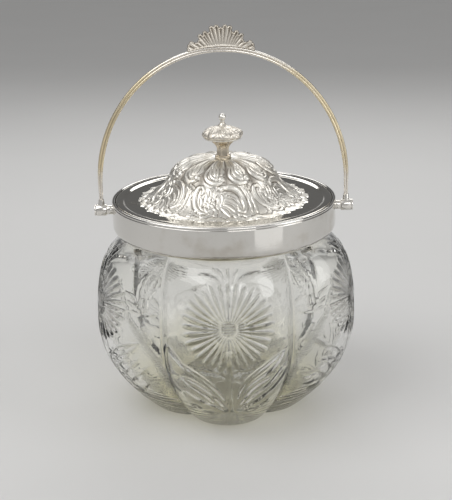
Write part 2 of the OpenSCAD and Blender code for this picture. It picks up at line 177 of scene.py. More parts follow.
def sewn(columns, rows, place, marks=(), finer=None):
    """A sheet of columns by rows whose points are moved to place(u, v), sewn where they meet and closed.

    u and v run from 0 to 1. Besides the points, in mm, place gives a value for each attribute in marks.
    finer(u, v) says where the sheet is twice as fine."""
    bm = bmesh.new()
    bmesh.ops.create_grid(bm, x_segments=columns, y_segments=rows, size=0.5)
    if finer:
        uv = np.array([v.co[:2] for v in bm.verts]) + 0.5
        inside = finer(uv[:, 0], uv[:, 1])
        near = [e for e in bm.edges if inside[e.verts[0].index] and inside[e.verts[1].index]]
        bmesh.ops.subdivide_edges(bm, edges=near, cuts=1, use_grid_fill=True)
    uv = np.array([v.co[:2] for v in bm.verts]) + 0.5
    points, *values = place(uv[:, 0], uv[:, 1])
    layers = [bm.verts.layers.float.new(mark) for mark in marks]
    for i, v in enumerate(bm.verts):
        v.co = points[i] * MM
        for layer, value in zip(layers, values):
            v[layer] = value[i]
    bmesh.ops.remove_doubles(bm, verts=bm.verts, dist=1e-6)
    open_edges = [e for e in bm.edges if e.is_boundary]
    if open_edges:
        bmesh.ops.holes_fill(bm, edges=open_edges, sides=0)
    bmesh.ops.recalc_face_normals(bm, faces=bm.faces)
    return bm


def turned(outline, steps):
    """A form of revolution through a closed outline of (radius, height)."""
    bm = bmesh.new()
    corners = [bm.verts.new((r * MM, 0, z * MM)) for r, z in outline]
    sides = [bm.edges.new(pair) for pair in zip(corners, corners[1:] + corners[:1])]
    bmesh.ops.spin(bm, geom=corners + sides, cent=(0, 0, 0), axis=(0, 0, 1), dvec=(0, 0, 0), angle=2 * pi,
                   steps=steps, use_merge=True, use_duplicate=False)
    bmesh.ops.remove_doubles(bm, verts=bm.verts, dist=1e-6)
    bmesh.ops.recalc_face_normals(bm, faces=bm.faces)
    return bm


def eased_edges(node, width):
    """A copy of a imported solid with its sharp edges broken."""
    bm = bmesh.new()
    bm.from_mesh(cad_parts[node].data)
    bmesh.ops.remove_doubles(bm, verts=bm.verts, dist=1e-6)
    bmesh.ops.dissolve_limit(bm, angle_limit=radians(1), verts=bm.verts, edges=bm.edges)
    sharp = [e for e in bm.edges if len(e.link_faces) == 2 and e.calc_face_angle(0) > radians(25)]
    bmesh.ops.bevel(bm, geom=sharp, offset=width * MM, offset_type="OFFSET", segments=2, profile=0.5,
                    affect="EDGES", clamp_overlap=True, material=-1)
    return bm


# ---------- Finishes ----------


class Value:
    """A number that varies over a surface. Arithmetic on it adds Math nodes."""

    def __init__(self, paint, socket):
        self.paint, self.socket = paint, socket

    def math(self, operation, *others):
        return self.paint.node("Math", {"operation": operation}, [self, *others])

    def __add__(self, other):
        return self.math("ADD", other)

    def __sub__(self, other):
        return self.math("SUBTRACT", other)

    def __mul__(self, other):
        return self.math("MULTIPLY", other)

    def __truediv__(self, other):
        return self.math("DIVIDE", other)

    def __rsub__(self, other):
        return self.paint.node("Math", {"operation": "SUBTRACT"}, [other, self])

    def __abs__(self):
        return self.math("ABSOLUTE")

    __radd__, __rmul__ = __add__, __mul__

    def clipped(self):
        return self.paint.node("Clamp", {}, [self])

    def rise(self, low, high):
        """From 0 at low to 1 at high, with soft ends."""
        return self.paint.node("MapRange", {"interpolation_type": "SMOOTHSTEP"}, [self, low, high, 0.0, 1.0])


class Paint:
    """The nodes of one material or of the world."""

    def __init__(self, owner):
        self.owner = owner
        owner.use_nodes = True
        self.tree = owner.node_tree
        self.tree.nodes.clear()

    def node(self, kind, settings, sockets, output=0):
        """Adds a node: first its settings, then its sockets, which take values or other nodes' outputs."""
        made = self.tree.nodes.new("ShaderNode" + kind)
        for setting, value in settings.items():
            if setting == "stops":
                while len(made.color_ramp.elements) < len(value):
                    made.color_ramp.elements.new(0.5)
                for stop, (place, grey) in zip(made.color_ramp.elements, value):
                    stop.position, stop.color = place, (grey, grey, grey, 1)
            else:
                setattr(made, setting, value)
        for socket, value in sockets.items() if isinstance(sockets, dict) else enumerate(sockets):
            if isinstance(value, Value):
                self.tree.links.new(value.socket, made.inputs[socket])
            else:
                made.inputs[socket].default_value = value
        return Value(self, made.outputs[output]) if made.outputs else None

    def place(self):
        """Where a point lies in the piece's own frame."""
        return self.node("TexCoord", {}, [], "Object")

    def part(self, axis, vector):
        return self.node("SeparateXYZ", {}, [vector], axis)

    def up(self):
        """Height above the jar's underside, in mm."""
        return self.part("Z", self.place()) / MM

    def stretched(self, x, y, z):
        """The place with each direction scaled."""
        return self.node("Mapping", {}, {"Vector": self.place(), "Scale": (x, y, z)})

    def noise(self, scale, detail=2.0, vector=None):
        """Soft noise round zero, with this many patches to the metre."""
        sockets = {"Vector": vector or self.place(), "Scale": scale, "Detail": detail}
        return self.node("TexNoise", {}, sockets, "Fac") - 0.5

    def mark(self, name):
        return self.node("Attribute", {"attribute_name": name}, [], "Fac")

    def blend(self, share, low, high):
        """A colour between two others."""
        colours = [c if isinstance(c, Value) else (*c, 1) for c in (low, high)]
        return self.node("Mix", {"data_type": "RGBA"}, {0: share, 6: colours[0], 7: colours[1]}, 2)

    def bump(self, height):
        """The normal of a surface that rises by this height in mm."""
        return self.node("Bump", {}, {"Height": height, "Distance": MM})

    def surface(self, shadow=0.0, **sockets):
        """The Principled shader with these sockets set, and whatever is varied linked to it.

        shadow is how much light a clear piece lets through into its own shadow."""
        named = {name.replace("_", " "): value for name, value in sockets.items()}
        named = {name: (*value, 1) if isinstance(value, tuple) else value for name, value in named.items()}
        shader = self.node("BsdfPrincipled", {}, named)
        if shadow:
            clear = self.node("BsdfTransparent", {}, {"Color": (0.97, 0.96, 0.90, 1)})
            falls = self.node("LightPath", {}, [], "Is Shadow Ray") * shadow
            shader = self.node("MixShader", {}, [falls, shader, clear])
        self.node("OutputMaterial", {}, {"Surface": shader})
        return self.owner


def material(name):
    return Paint(bpy.data.materials.new(name))


# The pressed pattern: a flower on each lobe with a cross-hatched hub, and leaves that rise from a root
FLOWER_Z, HUB_R, ROOT_Z = 73.2, 4.4, 17
HATCH_PITCH, HATCH_H = 3.3, 0.2
ROOT_RIBS, ROOT_RIB_H = 44, 0.26
LEAF_LINES_UP, LEAF_LINES_ACROSS, LEAF_LINE_H = 5.2, 2.2, 0.13
STRAW_TOP, STRAW_WANDER = 40, 12
# The last grey is the painted shade laid in the cuts, on the hub and on the thick leaves
CLEAR, STRAW, CUT_SHADE_GREY = (0.985, 0.985, 0.965), (0.985, 0.965, 0.80), (0.56, 0.55, 0.50)


def pressed_glass():
    p = material("pressed_glass")
    up, across = p.up(), p.mark("across")
    # The hub's two sets of crossing lines
    above = up - FLOWER_Z
    out = (across * across + above * above).math("SQRT")
    pace = 2 * pi / HATCH_PITCH
    rising = ((across + above) * pace).math("COSINE")
    falling = ((across - above) * pace).math("COSINE")
    hatch = rising * falling * HATCH_H * (1 - out.rise(HUB_R - 1, HUB_R - 0.4))
    # A fan of fine ribs round the root of the leaves, down to the base
    fan = (across.math("ARCTAN2", up - ROOT_Z) * ROOT_RIBS).math("COSINE")
    fan = fan * ROOT_RIB_H * (1 - up.rise(11, 18)) * up.rise(1, 4)
    # Fine lines across the thick leaves
    leaf = p.mark("leaf")
    lines = (up * LEAF_LINES_UP + across * LEAF_LINES_ACROSS).math("SINE") * LEAF_LINE_H * leaf
    # The face wavers as glass from an old mould does
    waver = p.noise(90, 1.0) * 0.25 + p.noise(420, 2.0) * 0.02
    straw = 1 - (up + p.noise(60, 2.0) * STRAW_WANDER).rise(2, STRAW_TOP)
    # Painted shade: the glass is darkened in the cuts, on the hub and on the thick leaves, in uneven patches
    on_hub = 1 - out.rise(HUB_R - 0.5, HUB_R)
    cut_shade = (p.mark("cut") + on_hub * (0.5 + hatch * 3) + leaf * 0.5).rise(0.05, 0.9)
    cut_shade = (cut_shade * (0.75 + p.noise(260, 3.0))).clipped()
    rough = 0.02 + (p.noise(700, 3.0) + 0.5).rise(0.5, 0.9) * 0.05
    return p.surface(
        shadow=0.75, Base_Color=p.blend(cut_shade, p.blend(straw, CLEAR, STRAW), CUT_SHADE_GREY), Roughness=rough,
        Transmission_Weight=1.0, IOR=1.5, Normal=p.bump(hatch + fan + lines + waver))


BRASS, GRIME = (0.66, 0.50, 0.31), (0.17, 0.14, 0.11)


def silver(name, bright, dull, roughness, wear=1.0, recesses=0.0, dents=1.0, edges=()):
    """Silver plate: soft tarnish in patches, fine scratches and a slightly uneven face.

    recesses is how dark the cut lines are, and edges are the heights at which the plate is worn to brass."""
    p = material(name)
    patches = (p.noise(38, 4.0) + p.noise(160, 3.0) * 0.6).rise(-0.02, 0.32)
    specks = p.noise(1500, 2.0).rise(0.14, 0.26)
    dulled = (patches * 0.5 * wear + specks * 0.35 * wear).clipped()
    colour = p.blend(dulled, bright, dull)
    scratches = p.noise(260, 3.0, p.stretched(1, 1, 14)) * 0.5 + p.noise(300, 3.0, p.stretched(9, 9, 1)) * 0.5
    rough = roughness + dulled * 0.16 + scratches * 0.10
    height = p.noise(55, 1.0) * 0.06 * dents + scratches * 0.006 * wear
    for edge in edges:
        near = 1 - abs(p.up() - edge).rise(0.3, 2.4)
        bare = (near * (0.6 + p.noise(110, 4.0) * 2.0)).clipped()
        colour = p.blend(bare * 0.8, colour, BRASS)
        rough = rough + bare * 0.12
    if recesses:
        depth = 1 - p.mark("relief").rise(-0.24, -0.02)
        grime = (depth * (0.9 + p.noise(500, 3.0) * 0.7)).clipped() * recesses
        colour = p.blend(grime, colour, GRIME)
        rough = rough + grime * 0.30
        height = height + p.noise(1300, 3.0) * 0.10 * depth
        rough = rough - p.mark("polish") * (roughness - 0.06)
    return p.surface(Base_Color=colour, Metallic=1.0, Roughness=rough.clipped(), Normal=p.bump(height))


def worn_gilt():
    """The bail's plate, worn to warm metal down its legs and bright towards the top and the feet."""
    p = material("worn_gilt")
    up = p.up()
    legs = up.rise(124, 150) * (1 - up.rise(190, 210))
    bare = (legs * 0.8 + p.noise(70, 4.0) * 1.1 + p.noise(420, 3.0) * 0.5).rise(0.1, 0.85)
    colour = p.blend(bare, (0.84, 0.80, 0.74), (0.76, 0.66, 0.46))
    grime = (1 - p.mark("relief").rise(0.0, 0.4)) * (0.7 + p.noise(600, 3.0))
    colour = p.blend(grime.clipped() * 0.6, colour, (0.20, 0.15, 0.10))
    rough = 0.20 + bare * 0.10 + p.noise(900, 3.0) * 0.12 + grime * 0.2
    height = p.noise(90, 1.0) * 0.05 + p.noise(1200, 2.0, p.stretched(0.1, 1, 0.1)) * 0.004
    return p.surface(Base_Color=colour, Metallic=1.0, Roughness=rough.clipped(), Normal=p.bump(height))


def set_plaster():
    p = material("set_plaster")
    grain = p.noise(300, 4.0)
    colour = p.blend((grain + 0.5).rise(0.3, 0.75), (0.86, 0.83, 0.75), (0.72, 0.68, 0.59))
    return p.surface(Base_Color=colour, Roughness=0.9 + grain * 0.1, Normal=p.bump(grain * 0.4))


def plain_steel():
    p = material("plain_steel")
    brushed = p.noise(500, 3.0, p.stretched(1, 1, 8))
    colour = p.blend((brushed + 0.5).rise(0.3, 0.8), (0.56, 0.55, 0.53), (0.36, 0.34, 0.32))
    return p.surface(
        Base_Color=colour, Metallic=1.0, Roughness=0.34 + brushed * 0.2, Normal=p.bump(brushed * 0.02))


COLLAR_Z = 106.4
GLASS = pressed_glass()
PLATE = silver("bright_plate", (0.70, 0.685, 0.655), (0.46, 0.41, 0.34), 0.06, edges=(COLLAR_Z,))
WORN_PLATE = silver("worn_plate", (0.80, 0.775, 0.73), (0.50, 0.44, 0.36), 0.16, wear=1.2)
CHASED = silver("chased_silver", (0.80, 0.775, 0.72), (0.58, 0.53, 0.44), 0.36, recesses=0.85)
CAST = silver("cast_silver", (0.78, 0.735, 0.66), (0.56, 0.50, 0.41), 0.38, recesses=0.95)
SATIN = silver("satin_plate", (0.84, 0.82, 0.77), (0.66, 0.61, 0.53), 0.34, wear=0.5, dents=0.3)
BRONZED = silver("bronzed_plate", (0.66, 0.59, 0.48), (0.38, 0.31, 0.23), 0.20, wear=1.2)
GILT = worn_gilt()
PLASTER = set_plaster()
STEEL = plain_steel()

# ---------- Glass ----------

GLASS_LOBES = 5
LOBE_PITCH = 360 / GLASS_LOBES
BELLY_R, BELLY_Z = 76.9, 56.8
BASE_R, NECK_R = 43, 54
SHOULDER_Z, LIP_Z = 106, 122
WALL, FLOOR_Z = 5, 8
VALLEY = 14.6
BOWL_POWER, SHOULDER_FULLNESS = 1.94, 2.6
GLASS_OFFSET = lobe_offset(GLASS_LOBES, 1 - VALLEY / BELLY_R)
GLASS_COLUMNS, CROWDING = 500, 0.35


def glass_side():
    """Crown radius and height up the outside, from the flat underside to the neck."""
    a = np.radians(np.linspace(90, 0, 120, endpoint=False))
    bowl_r = BASE_R + (BELLY_R - BASE_R) * np.cos(a) ** BOWL_POWER
    bowl_z = BELLY_Z * (1 - np.sin(a))
    a = np.radians(np.linspace(0, 90, 120))
    shoulder_r = NECK_R + (BELLY_R - NECK_R) * np.cos(a) ** (2 / SHOULDER_FULLNESS)
    shoulder_z = BELLY_Z + (SHOULDER_Z - BELLY_Z) * np.sin(a) ** (2 / SHOULDER_FULLNESS)
    return np.stack([np.r_[bowl_r, shoulder_r], np.r_[bowl_z, shoulder_z]], axis=1)


GLASS_SIDE = glass_side()


def crown_r(z):
    return np.interp(z, GLASS_SIDE[:, 1], GLASS_SIDE[:, 0])


# Cuts on every lobe: depth, then (angle from the crown, height, half width) along the cut
LOBE_CUTS = [
    # Stem of the flower, down to the root
    (0.42, [(1, 51, 0.5), (1, 42, 0.5), (1, 30, 0.55), (1.2, 19, 0.6)]),
    # Right-hand leaves, from the top one down
    (0.6, [(3.7, 30.5, 0.5), (5.1, 37.3, 0.8), (8.6, 44.2, 1.0), (14.3, 49.1, 1.1), (20, 52.6, 1.3),
           (26, 54.8, 0.4)]),
    (0.5, [(5.2, 31, 0.4), (7.4, 37, 0.7), (11.4, 41.8, 0.9), (16.5, 45.4, 1.1), (21.5, 49, 1.3),
           (26, 54.3, 0.4)]),
    (0.5, [(4.3, 19.7, 0.7), (5.7, 26.5, 0.8), (9.1, 34.9, 0.9), (13.1, 38.8, 0.9), (18.8, 41.8, 0.4)]),
    (0.5, [(5.2, 20, 0.6), (8.4, 27, 0.8), (12.6, 32.4, 0.9), (18, 36.6, 0.9), (25, 45, 0.4)]),
    (0.5, [(5.6, 18.6, 0.6), (10, 23.4, 0.9), (16, 28.4, 1.0), (22, 33, 1.0), (29, 41, 0.4)]),
    (0.8, [(7, 17.6, 0.6), (10.5, 18.2, 1.2), (14.9, 19.2, 1.3), (20.5, 23, 0.4)]),
    # Left-hand leaves, from the top one down
    (0.6, [(-2.3, 29.5, 0.5), (-5.7, 36.4, 0.9), (-9.1, 41.3, 1.0), (-13.1, 45.2, 1.1), (-17.1, 47.6, 1.2),
           (-21.1, 50, 0.5)]),
    (0.5, [(-19.5, 47, 0.4), (-23, 51.4, 1.6), (-26.6, 54.6, 1.8), (-29.9, 57.6, 0.5)]),
    (0.5, [(-29.9, 57.6, 0.5), (-32.3, 54.5, 0.9), (-33.8, 49, 0.9), (-34.6, 40, 0.4)]),
    (0.5, [(-1, 20, 0.7), (-3.8, 25.6, 0.8), (-8, 33.4, 0.9), (-13.1, 38.6, 1.0), (-18.3, 41, 0.9),
           (-22, 41, 0.4)]),
    (0.45, [(-21.7, 40.2, 0.4), (-17.1, 36.8, 0.8), (-11.8, 32.6, 0.8), (-6.3, 25, 0.5)]),
    (0.45, [(-2, 19.2, 0.6), (-6.5, 23.4, 0.8), (-12, 26.2, 0.9), (-20.5, 31.5, 0.4)]),
    (0.45, [(-22, 32, 0.4), (-26.5, 30, 0.8), (-31, 34, 0.8), (-33, 42, 0.4)]),
    (0.8, [(-21.5, 20.4, 0.4), (-18, 20.6, 1.2), (-14.6, 19.4, 0.4)]),
    (0.8, [(-14, 16.9, 0.4), (-10, 16.6, 1.4), (-6.6, 16, 0.6)]),
    # Palmette between the flower and the collar
    (0.5, [(-12.5, 100.4, 0.4), (-8.5, 100, 0.8), (-4.9, 98.4, 0.8), (-2.6, 95.6, 0.4)]),
    (0.5, [(-6.5, 103.6, 0.4), (-3.5, 102, 0.8), (-1.6, 98.4, 0.4)]),
    (0.5, [(14.8, 100.5, 0.4), (9.4, 100, 0.8), (5.6, 98.6, 0.8), (3.4, 96, 0.4)]),
    (0.45, [(0.4, 96.4, 0.4), (0.4, 100, 0.7), (0.2, 103.6, 0.4)]),
    (0.45, [(1.8, 96.4, 0.4), (3, 100, 0.7), (4.6, 103, 0.4)]),
]
# The spray on the flank that faces the front, with its angles from the crown towards the front
SPRAY_CUTS = [
    (0.55, [(27.6, 72.4, 0.4), (26.6, 79, 0.8), (26.9, 88.4, 0.9), (29.1, 95.2, 0.8), (31.6, 101, 0.4)]),
    (0.5, [(28.2, 73.5, 0.4), (28, 80.5, 0.7), (29.3, 87.4, 0.8), (32.2, 93.8, 0.4)]),
    (0.5, [(28.9, 73.6, 0.4), (29.4, 79, 0.7), (30.2, 83, 0.7), (32.4, 86, 0.4)]),
    (0.45, [(28.9, 72.3, 0.4), (31, 72.2, 0.6), (33.6, 72.9, 0.4)]),
    (0.5, [(27.3, 73, 0.4), (25.2, 77.6, 0.7), (22.4, 82, 0.7), (18, 84.8, 0.4)]),
    (0.5, [(26.8, 72.8, 0.4), (24.6, 76, 0.7), (22.2, 78.4, 0.7), (18.6, 79.2, 0.4)]),
    (0.5, [(26.4, 72.2, 0.4), (23.6, 73.7, 0.7), (20.4, 73.8, 0.4)]),
    (0.5, [(21.9, 68.4, 0.5), (19.8, 76, 0.7), (17.4, 83, 0.7), (15.2, 90.5, 0.4)]),
]
# The thick leaves that run up the valleys between the lobes
SHEATHS = [
    (0.9, [(35.2, 26, 0.5), (34.6, 34.4, 1.4), (32.8, 44.2, 1.9), (29.3, 52.1, 1.9), (24.8, 61.9, 1.6),
           (20.6, 70.9, 0.4)]),
    (0.75, [(30.8, 54, 0.4), (29.6, 58, 1.0), (27.2, 64.4, 0.4)]),
]
LEAF_TIP = LOBE_CUTS[8][1]
# All strokes are cut deeper and wider by these
CUT_DEPTH, CUT_WIDTH = 1.3, 1.15

PETALS, PETAL_DEPTH, PETAL_HALF_W = 32, 1.25, 1.5
PETALS_FROM, PETALS_TO, PETAL_TIP = 3.9, 4.7, 2.2
FLOWER_R, FLOWER_WIDER = 24, 3.2
RING_DEPTH, RING_IN, RING_W = 0.2, 0.6, 0.4


def flower_depth(x, y):
    """Depth of the cut petals at x across and y above the flower's middle."""
    out, turn = np.hypot(x, y), np.arctan2(x, y)
    pitch = 2 * pi / PETALS
    number = np.round(turn / pitch)
    aside = (turn - number * pitch) * out
    half = np.minimum(0.46 * out * pitch, PETAL_HALF_W) * (1 - 0.35 * rise(out, 18, 26))
    # The flower is wider than it is high, and its petals end unevenly
    end = FLOWER_R + 0.75 * np.cos(turn) + FLOWER_WIDER * np.sin(turn) ** 2 + 0.7 * np.sin(number * 2.4)
    past = np.maximum(0, out - (end - PETAL_TIP)) * 0.5
    share = np.hypot(aside, past) / half
    petals = np.clip(1 - share ** 1.2, 0, 1) * rise(out, PETALS_FROM, PETALS_TO)
    ring = RING_DEPTH * np.exp(-((out - HUB_R + RING_IN) / RING_W) ** 2)
    return PETAL_DEPTH * petals * np.minimum(1, half / 1.2) + ring


def beside_crown(angle):
    """The angle from the crown of the lobe that a point lies on, and the lobe's number."""
    lobe = np.round(angle / LOBE_PITCH)
    return angle - lobe * LOBE_PITCH, lobe


def glass_depth(angle, z):
    """Depth of the pressed pattern over the outside of the glass, how far each point is from its lobe's
    crown, and how much of a thick leaf it lies on."""
    r = crown_r(z)
    aside, lobe = beside_crown(angle)
    across = np.radians(aside) * r
    depth = flower_depth(across, z - FLOWER_Z)
    for deep, stroke in LOBE_CUTS:
        share = off_stroke(angle, z, r, stroke, LOBE_PITCH, crown_r) / CUT_WIDTH
        depth = np.maximum(depth, CUT_DEPTH * deep * hollow(share))
    # The front lobe has no spray, and the others carry theirs on the side that faces it
    towards_front = np.where(angle < 0, aside, -aside) + np.where(lobe == 0, 180, 0)
    leaf = hollow(off_stroke(angle, z, r, LEAF_TIP, LOBE_PITCH, crown_r))
    for deep, stroke in SPRAY_CUTS + SHEATHS:
        share = off_stroke(towards_front, z, r, stroke, 360, crown_r) / CUT_WIDTH
        depth = np.maximum(depth, CUT_DEPTH * deep * hollow(share))
        if (deep, stroke) in SHEATHS:
            leaf = np.maximum(leaf, hollow(share))
    return depth, np.abs(across), leaf


# Rows of the mesh: from and to along the outside, and how far apart they lie there
FLOWER_ROWS, LEAF_ROWS = (58, 108, 0.62), (20, 122, 0.95)
PLAIN_ROWS, INNER_ROWS = 2, 8
FINE_R = 9.2


def outer_spacing(run):
    for start, end, spacing in (FLOWER_ROWS, LEAF_ROWS):
        if start < run < end:
            return spacing
    return PLAIN_ROWS


def moulded_jar():
    foot = np.array([(0, 0), (BASE_R - 4, 0), (BASE_R - 1, 0)])
    outside = respaced(np.vstack([GLASS_SIDE, [(NECK_R, LIP_Z - 1), (NECK_R - 0.7, LIP_Z)]]), outer_spacing)
    mouth_r = NECK_R - WALL
    inner = beside(GLASS_SIDE, -WALL)
    inner = inner[(inner[:, 1] > FLOOR_Z) & (inner[:, 1] < SHOULDER_Z - WALL)]
    inner = np.vstack([[(inner[0, 0] - 1.2, FLOOR_Z)], inner, [
        (mouth_r, SHOULDER_Z - WALL + 1), (mouth_r, LIP_Z - 1), (mouth_r + 0.7, LIP_Z)]])
    inside = respaced(inner, lambda run: INNER_ROWS)
    side = np.vstack([foot, outside[1:], inside[::-1], [(0, FLOOR_Z)]])
    outer_rows = len(outside) + 2
    reach = beside(side, 1) - side
    round_r = np.where(np.arange(len(side)) < outer_rows, NECK_R, mouth_r)

    def turn(u):
        # The seam lies in a valley at the back, and the columns crowd towards the crowns
        angle = u * 360 - 180
        return angle - CROWDING / GLASS_LOBES * np.degrees(np.sin(np.radians(angle * GLASS_LOBES)))

    def along(values, v):
        return np.interp(v * (len(side) - 1), np.arange(len(side)), values)

    def round_hub(u, v):
        z = along(side[:, 1], v)
        across = np.radians(beside_crown(turn(u))[0]) * crown_r(z)
        return (np.hypot(across, z - FLOWER_Z) < FINE_R) & (v * (len(side) - 1) < outer_rows)

    def place(u, v):
        row, angle = row_at(v, side), turn(u)
        r, z = along(side[:, 0], v), along(side[:, 1], v)
        # The lobes fade out towards the round neck
        swell = np.clip((r - round_r[row]) / (BELLY_R - NECK_R), 0, 1)
        fade = np.where(z > BELLY_Z, 1 - (1 - swell) ** 4, 1)
        depth, across, leaf = glass_depth(angle, z)
        patterned = (row >= len(foot)) & (row < outer_rows - 1) & (r > NECK_R * (z > BELLY_Z))
        depth = np.where(patterned, depth, 0)
        share = lobe_share(angle, GLASS_LOBES, GLASS_OFFSET * fade)
        points = around(angle, r * share - depth * along(reach[:, 0], v), z - depth * along(reach[:, 1], v))
        return points, across, np.where(row < outer_rows, leaf, 0), depth

    return sewn(GLASS_COLUMNS, len(side) - 1, place, ("across", "leaf", "cut"), round_hub)


piece(moulded_jar(), "jar_pressed_glass", "jar", ["glass_jar"], GLASS, sharp=70)

# ---------- Collar ----------

COLLAR_R, SHEET = 64.5, 0.8
RIM_Z, SEAT_Z = 126, 124
TURN_W, TURN_H = 6.2, 5.4
BEAD_R = 0.9
PIVOT_Z = 119.1


def collar_outline():
    """The sheet's outline: the turned lip, the flat, the seam, the bead along the rim and the inside."""
    a = np.radians(np.linspace(0, 90, 14))
    turn = np.stack([COLLAR_R - TURN_W * (1 - np.sin(a)), COLLAR_Z + TURN_H * (1 - np.cos(a))], axis=1)
    bead_z, inner_r = RIM_Z - BEAD_R, COLLAR_R - SHEET
    flat = [(COLLAR_R, COLLAR_Z + TURN_H + 0.3), (COLLAR_R, bead_z - 1.2)]
    seam = [(COLLAR_R, bead_z - 1.0), (COLLAR_R - 0.12, bead_z - 0.86), (COLLAR_R - 0.30, bead_z - 0.72)]
    a = np.radians(np.linspace(-42, 232, 26))
    bead_round = np.stack([COLLAR_R - BEAD_R + BEAD_R * np.cos(a), bead_z + BEAD_R * np.sin(a)], axis=1)
    inside = [(inner_r, bead_z - 1.2), (inner_r, 116)]
    return np.vstack([turn, flat, seam, bead_round, inside, beside(turn, -SHEET)[::-1]])


piece(turned(collar_outline(), 288), "collar_rolled_band", "jar", ["collar_band"], PLATE,
      sharp=45)
for side in ("left", "right"):
    for node, name, body, width in [
        ("pivot_boss_", "boss_", "jar", 0.25), ("pivot_screw_", "screw_", "jar", 0.12),
        ("bail_knuckle_", "knuckle_", "handle", 0.3),
    ]:
        piece(eased_edges(node + side, width), name + side, body, [node + side], WORN_PLATE)

# ---------- Bail ----------

KNUCKLE_X = 70.87
SOCKET_TOP, SPRING_H, BAIL_H = 6.4, 15.3, 91.2
BAIL_W, BAIL_T = 3.2, 2.4
REED_DEPTH = 0.42
LEG_TAPER, TAPER_H = 0.7, 26


def arch_point(angle, up):
    """A point of the arch, at this angle from the right-hand foot and raised from its middle line."""
    climb = BAIL_H - SPRING_H
    outward = np.stack([climb * np.cos(angle), KNUCKLE_X * np.sin(angle)], axis=-1)
    outward /= np.linalg.norm(outward, axis=-1)[..., None]
    middle = np.stack([KNUCKLE_X * np.cos(angle), SPRING_H + climb * np.sin(angle)], axis=-1)
    return middle + np.asarray(up)[..., None] * outward


def reeded_bail():
    columns, rows = 36, 240
    leg = (SPRING_H - SOCKET_TOP) / (KNUCKLE_X * pi + 2 * SPRING_H)

    def place(u, v):
        # Round the section: two round reeds with a channel between them, on the front and on the rear
        w, front = np.cos(2 * pi * u), np.sin(2 * pi * u)
        share = np.abs(w)
        channel = 1 - (1 - np.sin(pi * share)) * 2 * REED_DEPTH / BAIL_T
        crown = np.where(share < 0.5, channel, bead(2 * share - 1))
        # Up a straight leg, over the arch and down the other leg
        far = np.clip((v - leg) / (1 - 2 * leg), 0, 1) * pi
        foot = np.clip(np.minimum(v, 1 - v) / leg, 0, 1)
        drop = (1 - foot) * (SPRING_H - SOCKET_TOP)
        middle = arch_point(far, 0 * far)
        taper = LEG_TAPER + (1 - LEG_TAPER) * np.clip((middle[:, 1] - drop - SOCKET_TOP) / TAPER_H, 0, 1)
        p = arch_point(far, w * BAIL_W / 2 * taper)
        y = -np.sign(np.round(front, 6)) * crown * BAIL_T / 2 * taper
        return np.stack([p[:, 0], y, PIVOT_Z + p[:, 1] - drop], axis=1), np.where(share < 0.5, share * 2, 1)

    return sewn(columns, rows, place, ("relief",))


piece(reeded_bail(), "bail_double_reed", "handle", ["bail_handle"], GILT, sharp=60)

# ---------- Crest ----------

CREST_H, FAN_DROP, FAN_SPREAD = 12, 8.6, 68
RIB_TIP_R, SOLDER_GAP = 1.45, 0.05
# Half thickness of the petals, of their hollows, of the rim and of the saddle
PETAL_T, HOLLOW_T, RIM_T, SADDLE_T = 0.62, 0.24, 1.14, 1.15
# How far in the rim's crest lies, how wide rim and saddle are, and half a hollow's width in degrees
RIM_IN, RIM_W, SADDLE_W, HOLLOW_W = 0.62, 0.54, 0.9, 4.2
# Half the fan, from the middle out: share of the spread and share of the reach of each rib
FAN = [(0, 0.93), (0.107, 1), (0.228, 1), (0.31, 0.87), (0.427, 0.945), (0.573, 0.95), (0.67, 0.85),
       (0.85, 1), (0.925, 1.01), (1, 0.99)]
# Share of the spread at which each petal is hollow
HOLLOWS = np.array([0, 0.107, 0.228, 0.33, 0.427, 0.5, 0.573, 0.69, 0.8, 0.925])


